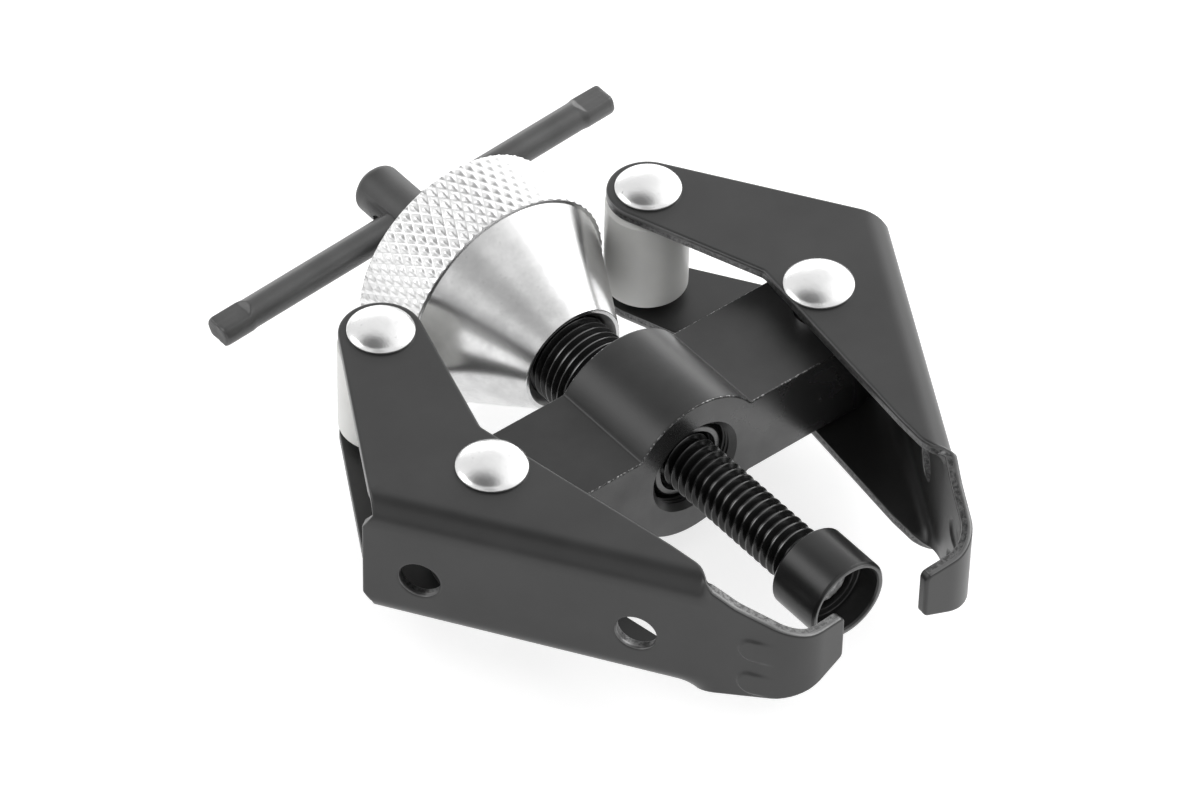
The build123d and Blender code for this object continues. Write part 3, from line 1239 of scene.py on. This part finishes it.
def bar_section(flatness, segments=96):
    """A round section pressed flat above and below, as (width, thickness)."""
    half_width = bar_radius + (flat_width / 2 - bar_radius) * flatness
    half_height = bar_radius + (flat_thickness / 2 - bar_radius) * flatness
    points = []
    for turn in turns(segments):
        thickness = bar_radius * math.sin(turn)
        thickness = min(half_height, max(-half_height, thickness))
        points.append((half_width * math.cos(turn), thickness))
    return points


def bar_half():
    """(place, flatness, scale) from the end of the round part to the middle of a cropped end."""
    half = bar_length / 2
    rows = []
    steps = 12
    for i in range(steps, -1, -1):
        share = i / steps
        rows.append((half - flat_length - flat_blend * share, 1 - smooth(share), 1.0))
    rows += [(half - 0.9, 1.0, 1.0), (half - 0.45, 1.0, 0.985), (half - 0.12, 1.0, 0.93)]
    rows += [(half, 1.0, 0.84), (half - 0.04, 1.0, 0.5), (half - 0.1, 1.0, POLE)]
    return rows


def make_bar():
    far = bar_half()
    stations = [(-place, flatness, scale) for place, flatness, scale in reversed(far)] + far
    rings = []
    for place, flatness, scale in stations:
        points = []
        for width, thickness in bar_section(flatness):
            wave = 0.05 * flatness * noise.noise(Vector((place * 0.5, width * 0.8, thickness)))
            points.append((width * scale, bar_middle + place, thickness * scale * (1 - wave)))
        rings.append(points)
    scales = [scale for _, _, scale in stations]
    kinds = [1 if min(pair) < 0.9 else 0 for pair in zip(scales, scales[1:])]
    obj = lofted("sliding_bar_rod", rings, [bar_phosphate, bar_sheared], kinds)
    obj.data.transform(place_along(bar_direction, bar_centre))
    roughened(obj, 0.05, 0.9, lambda co: abs(co.x) > bar_length / 2 - 4)
    finish_piece(obj, "sliding_bar", "tommy_bar")


make_bar()


# --- rivets and rollers
def make_rivet(name, body, node, centre, shank, head):
    low, high = box_mm(node)
    top_face, low_face = arm_high.z, arm_low.z
    upper, lower = high.z - top_face, low_face - low.z
    profile = [
        (POLE, high.z, 0),
        (head * 0.3, high.z - upper * 0.04, 6.0),
        (head * 0.62, high.z - upper * 0.2, 9.0),
        (head * 0.9, high.z - upper * 0.52, 3.0),
        (head, top_face + upper * 0.22, 0.35),
        (head - 0.12, top_face + 0.02, 0.1),
        (shank, top_face + 0.02, 0.0),
        (shank, low_face - 0.02, 0.0),
        (head - 0.12, low_face - 0.02, 0.1),
        (head, low_face - lower * 0.25, 0.35),
        (head * 0.85, low.z + lower * 0.4, 3.0),
        (head * 0.55, low.z + lower * 0.08, 3.0),
        (POLE, low.z, 0),
    ]
    path = rounded_path(profile, step=8, support=0.0)
    rings = [ring(r, z, 96, (centre.x, centre.y)) for r, z in path]
    obj = lofted(name, rings, [rivet_zinc])
    finish_piece(obj, body, node)


def make_roller(name, body, node, centre):
    low, high = box_mm(node)
    radius = (high.x - low.x) / 2
    bore = axle_shank_radius + fit_gap
    edge = 0.7
    corners = [
        (bore, low.z + 0.3, 0),
        (bore + 0.4, low.z, 0.1),
        (radius - edge, low.z, 0.25),
        (radius, low.z + edge, 0.3),
        (radius, high.z - edge, 0.3),
        (radius - edge, high.z, 0.25),
        (bore + 0.4, high.z, 0.1),
        (bore, high.z - 0.3, 0),
    ]
    profile = rounded_path(corners, closed=True, step=12)
    obj = turned(name, profile, [nylon], 112, centre=(centre.x, centre.y))
    finish_piece(obj, body, node)


for side, pivot, axle in (("left", left_pivot, left_axle), ("right", right_pivot, right_axle)):
    rivets = (
        ("pivot_rivet_head", "pivot_rivet", pivot, pivot_shank_radius, pivot_head_radius),
        ("axle_rivet_head", "roller_rivet", axle, axle_shank_radius, axle_head_radius),
    )
    for name, node, centre, shank, head in rivets:
        make_rivet(f"{side}_{name}", f"{side}_jaw", f"{side}_{node}", centre, shank, head)
    make_roller(f"{side}_roller_nylon", f"{side}_wheel", f"{side}_roller", axle)


# --- floor, light and camera
studio_level = 0.9
# Soft patches of the studio: azimuth from +Y towards +X, elevation, inner and outer
# reach, all in degrees, and the share of the studio's light found there.
studio_patches = (
    (-40, 78, 9, 29, 0.16),
    (-165, -3, 14, 44, 0.3),
    (-124, -2, 13, 35, 0.35),
    (-134, 52, 5, 20, 0.55),
    (-75, -8, 10, 34, 0.3),
    (40, 4, 12, 40, 1.4),
    (100, 35, 15, 50, 1.4),
    (75, 0, 14, 36, 1.6),
    (-45, 38, 8, 26, 1.4),
)


def heading_vector(azimuth, elevation):
    across, rise = math.radians(azimuth), math.radians(elevation)
    level = math.cos(rise)
    return Vector((math.sin(across) * level, math.cos(across) * level, math.sin(rise)))


def make_floor():
    shader = Shader("studio_floor")
    cloud = shader.noise(3, detail=2)
    shader.set(
        Base_Color=shader.ramp(cloud, (0.3, 0.60), (0.7, 0.62)),
        Roughness=0.9,
        Emission_Color=(1, 1, 1, 1),
        Emission_Strength=0.7,
    )
    reach = 3.0
    height = cad_bounds[0][2]
    mesh = bpy.data.meshes.new("studio_floor")
    signs = ((-1, -1), (1, -1), (1, 1), (-1, 1))
    corners = [(x * reach, y * reach, height) for x, y in signs]
    mesh.from_pydata(corners, [], [(0, 1, 2, 3)])
    mesh.materials.append(shader.material)
    linked("studio_floor", mesh)


def make_world():
    """A pale studio with soft dark patches, which give the metal its bands."""
    world = bpy.data.worlds.new("studio")
    world.use_nodes = True
    nodes = Nodes(world.node_tree)
    direction = nodes.add("ShaderNodeTexCoord").outputs["Generated"]
    level = studio_level
    for azimuth, elevation, inner, outer, share in studio_patches:
        middle = heading_vector(azimuth, elevation)
        dot = nodes.compute("ShaderNodeVectorMath", "DOT_PRODUCT", direction, middle)["Value"]
        start, end = math.cos(math.radians(outer)), math.cos(math.radians(inner))
        fade = nodes.remap(dot, start, end, 1.0, share, "SMOOTHSTEP")
        level = nodes.compute("ShaderNodeMath", "MULTIPLY", fade, level)[0]
    background = nodes.tree.nodes["Background"]
    nodes.feed(background.inputs["Color"], (1, 1, 1, 1))
    nodes.feed(background.inputs["Strength"], level)
    bpy.context.scene.world = world


light_distance = 0.9
softboxes = (
    # name, azimuth, elevation, (width, height), watts
    ("right_softbox", 100, 38, (0.6, 0.5), 2.4),
    ("left_softbox", -45, 40, (0.4, 0.35), 0.8),
    ("back_softbox", 35, 12, (0.8, 0.3), 1.2),
)


def make_light(name, azimuth, elevation, size, power):
    light = bpy.data.lights.new(name, "AREA")
    light.shape = "RECTANGLE"
    light.size, light.size_y = size
    light.energy = power
    obj = linked(name, light)
    obj.location = heading_vector(azimuth, elevation) * light_distance
    obj.rotation_euler = (-obj.location).to_track_quat("-Z", "Y").to_euler()


# Where the view points, in degrees as for the patches.
camera_azimuth, camera_elevation = 40.0, -44.59
camera_roll = math.radians(1.40)
camera_distance = 1.09035
camera_lens = 197.79
camera_target = Vector((-9.72, 3.13, 11.09)) * MM


def make_camera():
    forward = heading_vector(camera_azimuth, camera_elevation)
    level = heading_vector(camera_azimuth + 90, 0)
    up = level.cross(forward)
    right = level * math.cos(camera_roll) + up * math.sin(camera_roll)
    up = right.cross(forward)
    data = bpy.data.cameras.new("photo_camera")
    data.lens = camera_lens
    data.sensor_width = 36
    data.clip_start, data.clip_end = 0.05, 20
    camera = linked("photo_camera", data)
    turn = Matrix((right, up, -forward)).transposed().to_4x4()
    camera.matrix_world = Matrix.Translation(camera_target - forward * camera_distance) @ turn
    bpy.context.scene.camera = camera


make_floor()
make_world()
for softbox in softboxes:
    make_light(*softbox)
make_camera()
bpy.context.scene.view_settings.view_transform = "Standard"
